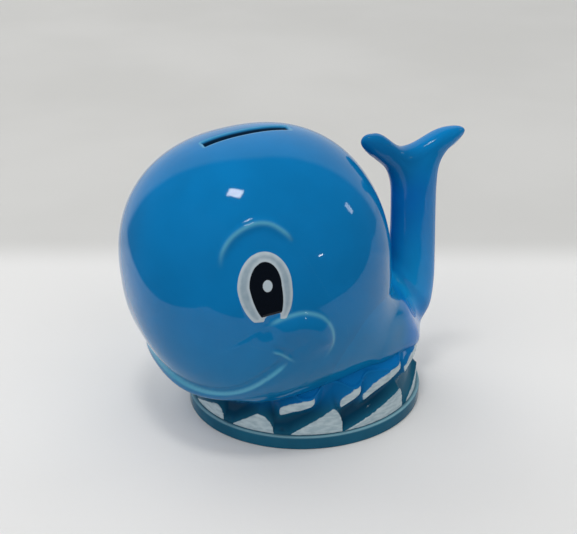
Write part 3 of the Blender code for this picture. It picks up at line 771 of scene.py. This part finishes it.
def fluke_top(share):
    """Top edge of the flukes, ahead and up, at shares from 1 at the front tip to -1 at the rear tip.

    Each lobe falls to the notch as a squared cosine, and ends in a quarter of an oval at its tip.
    """
    ahead = -TAIL_BEHIND + FLUKE_AHEAD + share * FLUKE_SPAN / 2
    heights = []
    for top, crest_at, drop, tip in (FRONT_LOBE, REAR_LOBE):
        to_crest = np.clip(np.abs(share - NOTCH_AT) / abs(crest_at - NOTCH_AT), 0, 1)
        past = np.clip((np.abs(share) - (1 - tip)) / tip, 0, 1)
        valley = (top - NOTCH_HEIGHT) * np.cos(to_crest * math.pi / 2) ** 2
        heights.append(top - valley - drop * (1 - np.sqrt(1 - past**2)))
    return ahead, np.where(share > NOTCH_AT, heights[0], heights[1])


def tail_loft(between, cap_steps):
    """Grid of points, rows by places round: oval sections from edge to edge, then a rounded top.

    A section's width at a share from edge to edge is (1 - share^f)^(1/f), with f near 2. The top rows
    sag under the notch, then thin out by a quarter circle while their edges bend upright to the top edge.
    """
    rows = smooth_rows(tail_table(), between)
    share, side = np.cos(tail_turn), np.sin(tail_turn)
    middle, lever = (rows[:, 0:2] + rows[:, 2:4]) / 2, (rows[:, 0:2] - rows[:, 2:4]) / 2
    flat = middle[:, None] + lever[:, None] * share[None, :, None]
    along = np.linspace(0, 1, len(rows))[:, None]
    root, fluke = np.clip(1 - along / 0.45, 0, 1), np.clip((along - 0.7) / 0.3, 0, 1)
    fullness = 2.0 + 2.0 * root + fluke
    wide = np.sign(side) * (1 - np.abs(share) ** fullness).clip(0, 1) ** (1 / fullness)
    ahead, up = fluke_top(share)
    flat[..., 1] -= step_up(along, 0.66, 1.0) * np.clip(flat[-1, :, 1] - up + CAP_DEPTH, 0, None)
    stem = np.stack([rows[:, 4:5] * wide, -flat[..., 0], flat[..., 1]], axis=-1)
    turn = np.linspace(0, math.pi / 2, cap_steps + 1)[1:, None]
    rise = np.sin(turn)
    across = rows[-1, 4] * np.cos(turn) * wide[-1]
    forward = flat[-1, :, 0] + (2 * rise - rise**2) * (ahead - flat[-1, :, 0])
    height = flat[-1, :, 1] + (1.4 * rise - 0.4 * rise**2) * (up - flat[-1, :, 1])
    grid = np.concatenate([stem, np.stack([across, -forward, height], axis=-1)])
    grid[..., 1] += TAIL_SHIFT
    return grid


tail_grid = tail_loft(20, 48)
last_row = len(tail_grid) - 1


def at_rows(values, at):
    """Values of the tail's grid at fractional rows, for each place round."""
    low = np.clip(at.astype(int), 0, last_row - 1)
    part = (at - low).reshape(at.shape + (1,) * (values.ndim - 2))
    return values[low, round_tail] * (1 - part) + values[low + 1, round_tail] * part


# The weld: a curve at each place round, from the body's skin to the tail's wall and level with both.
depth = body_gap(tail_grid)[0]
inside_row = last_row - np.argmax((depth < 0)[::-1], axis=0)
below, above = depth[inside_row, round_tail], depth[inside_row + 1, round_tail]
seam_at = inside_row - below / (above - below)
seam = at_rows(tail_grid, seam_at)
from_crotch = 1 - np.cos(tail_turn)
skin_reach = CROTCH_REACH + (WELD_REACH - CROTCH_REACH) * step_up(from_crotch, 0.02, 0.7)
wall_reach = WALL_REACH + CROTCH_FLARE * step_up(-from_crotch, -0.6, -0.05)
lengths = np.cumsum(np.linalg.norm(np.diff(tail_grid, axis=0, prepend=tail_grid[:1]), axis=-1), axis=0)
wall_length = at_rows(lengths, seam_at) + wall_reach
wall_at = np.array([np.interp(wall_length[k], lengths[:, k], np.arange(last_row + 1)) for k in round_tail])
weld_wall = at_rows(tail_grid, wall_at)
wall_way = unit(at_rows(tail_grid, wall_at + 0.5) - at_rows(tail_grid, wall_at - 0.5))
away = np.cross(np.roll(seam, -1, axis=0) - np.roll(seam, 1, axis=0), body_gap(seam)[1])
away = unit(away) * np.sign((away * (seam - seam.mean(0))).sum())
for _ in range(WELD_SMOOTHING):
    away = unit(np.roll(away, 1, axis=0) + 2 * away + np.roll(away, -1, axis=0))
weld_edge = seam
for _ in range(WELD_MARCH):
    weld_edge = on_skin(weld_edge + away * skin_reach[:, None] / WELD_MARCH)
    edge_out = body_gap(weld_edge)[1]
    away = unit(away - (away * edge_out).sum(-1, keepdims=True) * edge_out)
t = np.linspace(0, 1, 48)[:, None, None]
skin_pull = weld_edge - WELD_BEND * skin_reach[:, None] * away
wall_pull = weld_wall - WELD_BEND * wall_reach[:, None] * wall_way
weld = (1 - t) ** 3 * weld_edge + 3 * t * (1 - t) ** 2 * skin_pull + 3 * t**2 * (1 - t) * wall_pull
weld = weld + t**3 * weld_wall - WELD_SINK * (1 - t) ** 6 * edge_out
up_tail = np.linspace(0, 1, 240)[1:, None]
free_tail = at_rows(tail_grid, wall_at + (last_row - wall_at) * up_tail)
shrink = np.linspace(0, 1, 9)[1:-1, None, None]
edge_middle = weld_edge.mean(0)
hidden = on_skin(edge_middle + shrink * (weld_edge - edge_middle), -2.5)
tail_rows = np.concatenate([hidden, weld, free_tail])
tail_points = np.concatenate([tail_rows.reshape(-1, 3), on_skin(edge_middle[None], -2.5)])
whale_tail = mesh_piece(
    "whale_tail",
    tail_points,
    grid_quads(len(tail_rows), TAIL_ROUND)[..., ::-1],
    pole_fan(len(tail_points) - 1, round_tail)[:, ::-1],
)
close_top = whale_tail.modifiers.new("close_top_edge", "WELD")
close_top.merge_threshold = 0.00002
tail_material, tree, shader, place = new_material("tail_glaze")
_, back, up = add_node(tree, "ShaderNodeSeparateXYZ", None, {0: place}).outputs
fore_fluke = ramp(tree, back, 1.0, 0.0, *FLUKE_FRONT_ENDS)
fore_fluke = product(tree, fore_fluke, ramp(tree, up, 0.0, 1.0, *FLUKE_STARTS))
colour = mix_colour(tree, fore_fluke, blue_glaze(tree, place), BLUE_FLUKE)
tree.links.new(colour, shader.inputs["Base Color"])
glaze_surface(tree, shader, place, GLAZE_WAVES)
whale_tail.data.materials.append(tail_material)
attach(whale_tail, "bank")
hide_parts("tail")

# Wave base: an oval cast ring with a flat band at its foot and two rows of waves cut in its wall, whose
# crests are brushed white. The body sits in its sloping top, and its floor has the stopper's hole.
BASE_HALF = np.array([47.2, 50.0])
BASE_SHIFT = 2.12
BAND_HEIGHT = 5.6
LEDGE = 2.0
RIM_MIDDLE = 23.75
RIM_TILT = 4.25
RIM_ROUND = 1.1
RING_THICKNESS = 14.0
FOOT_WIDTH = 6.0
FOOT_RECESS = 6.0
FLOOR_TOP = 10.0
HOLE_RADIUS = 14.0
BASE_ROUND = 600
SIZE_ROUND = 46.6
HOLLOW_FOOT = 0.4
HOLLOW_TOP = 4.2
CREST_PROUD = 0.5
DASH_HALF = 1.7
RIM_LIFT = 2.0
COLLAR_SLOPE = 1.5
COLLAR_RISE = (6.5, 2.0)
EDGE_SMOOTHING = 40
BASE_WAVES = 140.0
# Degrees from the front between which the rim lifts and falls again, the collar sinks and the hollows stop
# being darker.
RIM_LIFTS = (80, 120)
RIM_FALLS = (130, 165)
COLLAR_SINKS = (95, 125)
HOLLOW_DARK_ENDS = (105, 130)
TEAL = (0.012, 0.105, 0.180, 1.0)
TEAL_DEEP = (0.002, 0.038, 0.082, 1.0)
TEAL_LEDGE_SHEEN = (0.200, 0.380, 0.450, 1.0)
CREST_WHITE = (0.470, 0.565, 0.600, 1.0)
CREST_GREY = (0.340, 0.440, 0.490, 1.0)
# Waves in degrees round from the front. Lower row: tip, crest, end and height. Upper row: start and end.
LOWER_WAVES = [
    (-2.5, 20.0, 25.0, 11.8),
    (30.4, 45.0, 53.2, 13.6),
    (60.7, 81.5, 87.0, 16.2),
    (87.4, 122, 125.5, 15.5),
    *((tip, tip + 24, tip + 30, 15.0 - (tip - 128) / 80) for tip in range(128, 352, 32)),
]
UPPER_WAVES = [(56, 73), (85, 96.5), (97, 124), (126, 150)]
UPPER_WAVES += [(start, start + 25) for start in range(216, 332, 29)]
base_turn = np.linspace(0, 2 * math.pi, BASE_ROUND, endpoint=False)
from_front = np.degrees(np.pi - np.abs(base_turn - np.pi))
rim = RIM_MIDDLE - RIM_TILT * np.cos(base_turn)
rim = rim + RIM_LIFT * step_up(from_front, *RIM_LIFTS) * (1 - step_up(from_front, *RIM_FALLS))
wall_half = BASE_HALF - LEDGE
bore_half = (BASE_HALF[1] - LEDGE - RING_THICKNESS) * BASE_HALF / BASE_HALF[1]


def oval(half, height):
    """Points round an oval with half its width and length, at a height."""
    half = np.asarray(half)
    x, y = half[..., 0] * np.sin(base_turn), BASE_SHIFT - half[..., 1] * np.cos(base_turn)
    return np.stack([x, y, height + 0 * x], axis=-1)


def past(start):
    """Degrees round from a start, from -180 to 180."""
    return (np.degrees(base_turn) - start + 180) % 360 - 180


def lower_wave(height, start, crest_at, end, top):
    """Distance inside a wave's white face: a wedge rising from its tip to a round head, on the ledge."""
    run, head = crest_at - start, end - crest_at
    rise = np.where(
        past(start) < run,
        np.clip(past(start) / run, 0, 1) ** 0.9,
        np.sqrt(np.clip(1 - ((past(start) - run) / head) ** 2, 0, 1)),
    )
    ends = np.minimum(past(start), run + head - past(start)) * math.radians(SIZE_ROUND)
    over = 0.9 * (BAND_HEIGHT + (top - BAND_HEIGHT) * rise - height)
    return np.minimum(np.minimum(ends, over), height - BAND_HEIGHT - 0.2)


def upper_wave(height, start, end):
    """Distance inside a slanting white dash with rounded ends that climbs to the rim."""
    share = past(start) / (end - start)
    middle = rim - 6.0 + 4.6 * share
    half = DASH_HALF * (0.75 + 0.35 * np.clip(share, 0, 1))
    beyond = np.abs(past((start + end) / 2)) - (end - start) / 2
    beyond = np.clip(beyond * math.radians(SIZE_ROUND) + half, 0, None)
    away = (beyond**3 + (0.92 * np.abs(height - middle)) ** 3) ** (1 / 3)
    return np.minimum(half - away, rim - 0.5 - height)


def underside(points):
    """Height of the body's skin over points of the ground, by halving, or very high where it has none."""
    low, high = np.zeros(points.shape[:-1]), np.full(points.shape[:-1], BODY_MIDDLE[2])
    for _ in range(24):
        half_way = (low + high) / 2
        offset = np.concatenate([points[..., :2], half_way[..., None]], axis=-1) - BODY_MIDDLE
        reach = np.linalg.norm(offset, axis=-1)
        is_out = reach > skin_radius(offset / reach[..., None])
        low, high = np.where(is_out, half_way, low), np.where(is_out, high, half_way)
    return np.where(high > BODY_MIDDLE[2] - 1, 999.0, low)


def rounded(corners, radius, steps):
    """Points of an outline of (half width, half length, height) corners, each turned by a short curve."""
    corners = np.asarray(corners, float)
    made = [corners[:1]]
    bend = np.linspace(0, 1, steps)[:, None]
    for before, corner, after in zip(corners, corners[1:], corners[2:]):
        start, stop = corner + radius * unit(before - corner), corner + radius * unit(after - corner)
        made.append((1 - bend) ** 2 * start + 2 * bend * (1 - bend) * corner + bend**2 * stop)
    return np.concatenate([*made, corners[-1:]])


wall_share = np.linspace(0, 1, 64)[:, None]
wall_height = BAND_HEIGHT + (rim - RIM_ROUND - BAND_HEIGHT) * wall_share
white = np.full(wall_height.shape, -9.0)
for wave in LOWER_WAVES:
    white = np.maximum(white, lower_wave(wall_height, *wave))
for wave in UPPER_WAVES:
    white = np.maximum(white, upper_wave(wall_height, *wave))
crest = step_up(white, -0.55, 0.25)
hollow = swell(-white, 0.0, 4.5) * step_up(wall_height, BAND_HEIGHT, BAND_HEIGHT + 1.6)
bulge = CREST_PROUD * crest - (HOLLOW_FOOT + (HOLLOW_TOP - HOLLOW_FOOT) * wall_share) * hollow
edge_bulge = bulge[-1]
for _ in range(EDGE_SMOOTHING):
    edge_bulge = (np.roll(edge_bulge, 1) + 2 * edge_bulge + np.roll(edge_bulge, -1)) / 4
bulge = bulge + wall_share**8 * (edge_bulge - bulge[-1])


def collar_climb(inset):
    """Rise of the ring's top so far in from its edge: slow, steep, then level, and less at the rear."""
    inset = np.clip(inset, 0, None)
    most = COLLAR_RISE[0] + (COLLAR_RISE[1] - COLLAR_RISE[0]) * step_up(from_front, *COLLAR_SINKS)
    return most * np.tanh(COLLAR_SLOPE * inset**2 / (inset + 1) / most)


rim = rim + collar_climb(-bulge[-1])
wall_height = wall_height + wall_share**4 * collar_climb(-bulge[-1])
wall_rows = np.stack([oval(wall_half + grow[:, None], high) for grow, high in zip(bulge, wall_height)])

bend = np.linspace(0, 1, 7)[1:, None]
rim_half = wall_half + bulge[-1][:, None]
rim_rows = np.stack(
    [oval(rim_half - RIM_ROUND * share**2, rim - RIM_ROUND * (1 - share) ** 2) for share in bend[:, 0]]
)
deck_share = np.linspace(0, 1, 22)[1:, None, None]
deck_half = (1 - deck_share) * (rim_half - RIM_ROUND) + deck_share * bore_half
inset = (wall_half - RIM_ROUND - deck_half).mean(-1)
deck_rows = oval(deck_half, rim - collar_climb(-bulge[-1]) + collar_climb(inset))
deck_rows[..., 2] = np.minimum(deck_rows[..., 2], underside(deck_rows) + BODY_WALL / 2)
bore_share = np.linspace(0, 1, 8)[1:-1, None, None]
bore_rows = deck_rows[-1] * (1 - bore_share) + oval(bore_half, FLOOR_TOP) * bore_share
foot_half = BASE_HALF - FOOT_WIDTH
under_corners = [
    (*bore_half, FLOOR_TOP),
    (HOLE_RADIUS, HOLE_RADIUS, FLOOR_TOP),
    (HOLE_RADIUS, HOLE_RADIUS, FOOT_RECESS),
    (*(foot_half - 0.8), FOOT_RECESS),
    (*foot_half, 0.0),
    (*BASE_HALF, 0.0),
    (*BASE_HALF, BAND_HEIGHT),
    (*(wall_half + 0.3), BAND_HEIGHT),
]
under_profile = rounded(under_corners, 0.8, 6)
under_rows = np.stack([oval(corner[:2], corner[2]) for corner in under_profile])
base_rows = np.concatenate([wall_rows, rim_rows, deck_rows, bore_rows, under_rows])


def base_rows_of(wall, rim_part, deck, bore, under):
    """One number for each point of the base, from a value or an array for each group of rows."""
    values = wall, rim_part, deck, bore, under
    groups = wall_rows, rim_rows, deck_rows, bore_rows, under_rows
    spread = [np.broadcast_to(value, group.shape[:2]) for value, group in zip(values, groups)]
    return np.concatenate(spread).ravel()


unglazed = step_up(-under_profile[:, 2:3], -0.3, -0.05) + step_up(under_profile[:, 2:3], 9.0, 9.8)
unglazed = unglazed * (under_profile[:, :1] < BASE_HALF[0] - 0.7)
base_quads = grid_quads(len(base_rows), BASE_ROUND, closed_rows=True)
wave_ring = mesh_piece("wave_ring", base_rows.reshape(-1, 3), base_quads[..., ::-1])
wave_ring.data.set_sharp_from_angle(angle=math.radians(50))
at_edge = hump(under_profile[:, :1] - BASE_HALF[0] + 0.5, 0.9)
# A lighter line along the ledge's top edge is a painted highlight.
ledge_sheen = at_edge * hump(under_profile[:, 2:3] - BAND_HEIGHT, 0.35)
hollow_darkening = hollow * (1 - step_up(from_front, *HOLLOW_DARK_ENDS))
set_numbers(wave_ring.data, "wave", base_rows_of(white, -9, -9, -9, -9), base_rows_of(hollow_darkening, 0, 0, 0, 0))
set_numbers(
    wave_ring.data,
    "zone",
    base_rows_of(0.75 * step_up(wall_share, 0.5, 1.0), 0.75 + 0.25 * bend, 1.0, 0.0, 0.0),
    base_rows_of(0.0, 0.0, 0.0, 1.0, unglazed),
    base_rows_of(0.0, 0.0, 0.0, 0.0, ledge_sheen),
)
base_material, tree, shader, place = new_material("base_glaze")
wave_parts, zone_parts = attribute_parts(tree, "wave"), attribute_parts(tree, "zone")
cloud = ramp(tree, noise(tree, place, 60.0, 3.0), 0.0, 1.0, 0.3, 0.75)
colour = mix_colour(tree, product(tree, cloud, 0.35), TEAL, TEAL_DEEP)
# The hollows between the waves are darker teal, less so towards the rear.
colour = mix_colour(tree, wave_parts[1], colour, TEAL_DEEP)
# The ring's top, rim and upper wall take the pool's blue: glaze run down from the body, with painted shade
# where the body overhangs them.
colour = mix_colour(tree, zone_parts[0], colour, BLUE_POOL_SHADE)
# Painted highlight along the ledge.
colour = mix_colour(tree, zone_parts[2], colour, TEAL_LEDGE_SHEEN)
brush = add_node(tree, "ShaderNodeMapping", None, {"Vector": place, "Scale": (1.0, 1.0, 3.5)}).outputs[0]
streak = ramp(tree, noise(tree, brush, 260.0, 4.0), 0.0, 1.0, 0.35, 0.68)
ragged = product(tree, maths(tree, "SUBTRACT", noise(tree, place, 500.0, 3.0), 0.5), 0.7)
painted = ramp(tree, maths(tree, "ADD", wave_parts[0], ragged), 0.0, 1.0, -0.05, 0.20)
colour = mix_colour(tree, painted, colour, mix_colour(tree, streak, CREST_WHITE, CREST_GREY))
colour = mix_colour(tree, zone_parts[1], colour, BISQUE)
tree.links.new(colour, shader.inputs["Base Color"])
glaze_surface(tree, shader, place, BASE_WAVES)
shader.inputs["Specular IOR Level"].default_value = 0.15
tree.links.new(ramp(tree, zone_parts[1], 0.06, 0.8), shader.inputs["Roughness"])
wave_ring.data.materials.append(base_material)
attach(wave_ring, "bank")
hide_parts("wave_base")

# Stopper: a moulded black rubber plug, hollow from above, pushed into the floor's hole from below. Two
# pockets in its flange leave a bar to pull it by.
PLUG_RADIUS = 13.7
PLUG_WALL = 2.6
PLUG_TOP = 13.0
FLANGE_RADIUS = 17.2
FLANGE_TOP = 5.7
FLANGE_BOTTOM = 3.1
WEB_HEIGHT = 6.74
POCKET_HALF = (3.43, 7.5)
POCKET_AT = 5.43
POCKET_DEPTH = 2.2
PLUG_ROUND = 160
RUBBER = (0.022, 0.022, 0.023, 1.0)
plug_corners = [
    (FLANGE_RADIUS - 3.0, 0.0, FLANGE_BOTTOM),
    (FLANGE_RADIUS, 0.0, FLANGE_BOTTOM),
    (FLANGE_RADIUS, 0.0, FLANGE_TOP),
    (PLUG_RADIUS, 0.0, FLANGE_TOP),
    (PLUG_RADIUS, 0.0, PLUG_TOP),
    (PLUG_RADIUS - PLUG_WALL, 0.0, PLUG_TOP),
    (PLUG_RADIUS - PLUG_WALL, 0.0, WEB_HEIGHT),
    (0.5, 0.0, WEB_HEIGHT),
]
bottom_radii = np.linspace(0.3, FLANGE_RADIUS - 3.0, 72, endpoint=False)
bottom_profile = np.stack([bottom_radii, 0 * bottom_radii, 0 * bottom_radii + FLANGE_BOTTOM], axis=-1)
plug_profile = np.concatenate([bottom_profile, rounded(plug_corners, 0.7, 7)])
plug_turn = np.linspace(0, 2 * math.pi, PLUG_ROUND, endpoint=False)
plug_x = plug_profile[:, :1] * np.sin(plug_turn)
plug_y = -plug_profile[:, :1] * np.cos(plug_turn)
plug_z = np.repeat(plug_profile[:, 2:3], PLUG_ROUND, axis=1)
pocket_size = np.hypot((np.abs(plug_x) - POCKET_AT) / POCKET_HALF[0], plug_y / POCKET_HALF[1])
in_bottom = np.arange(len(plug_profile))[:, None] < len(bottom_profile)
plug_z = plug_z + POCKET_DEPTH * step_up(1 - pocket_size, -0.06, 0.14) * in_bottom
plug_grid = np.stack([plug_x, plug_y + BASE_SHIFT, plug_z], axis=-1)
plug_poles = np.array([[0.0, BASE_SHIFT, FLANGE_BOTTOM], [0.0, BASE_SHIFT, WEB_HEIGHT]])
plug_points = np.concatenate([plug_grid.reshape(-1, 3), plug_poles])
first_ring = np.arange(PLUG_ROUND)
last_ring = first_ring + (len(plug_grid) - 1) * PLUG_ROUND
rubber_plug = mesh_piece(
    "rubber_plug",
    plug_points,
    grid_quads(len(plug_grid), PLUG_ROUND)[..., ::-1],
    pole_fan(len(plug_points) - 2, first_ring)[:, ::-1],
    pole_fan(len(plug_points) - 1, last_ring),
)
rubber_plug.data.set_sharp_from_angle(angle=math.radians(50))
rubber_material, tree, shader, place = new_material("stopper_rubber")
bloom = clouded(tree, RUBBER[:3], noise(tree, place, 90.0, 4.0), 0.8, 1.35)
tree.links.new(bloom, shader.inputs["Base Color"])
tree.links.new(ramp(tree, noise(tree, place, 160.0, 3.0), 0.55, 0.72, 0.3, 0.7), shader.inputs["Roughness"])
add_bump(tree, shader, noise(tree, place, 1400.0, 3.0), 0.25, 0.0001)
rubber_plug.data.materials.append(rubber_material)
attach(rubber_plug, "stopper")
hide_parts("stopper")
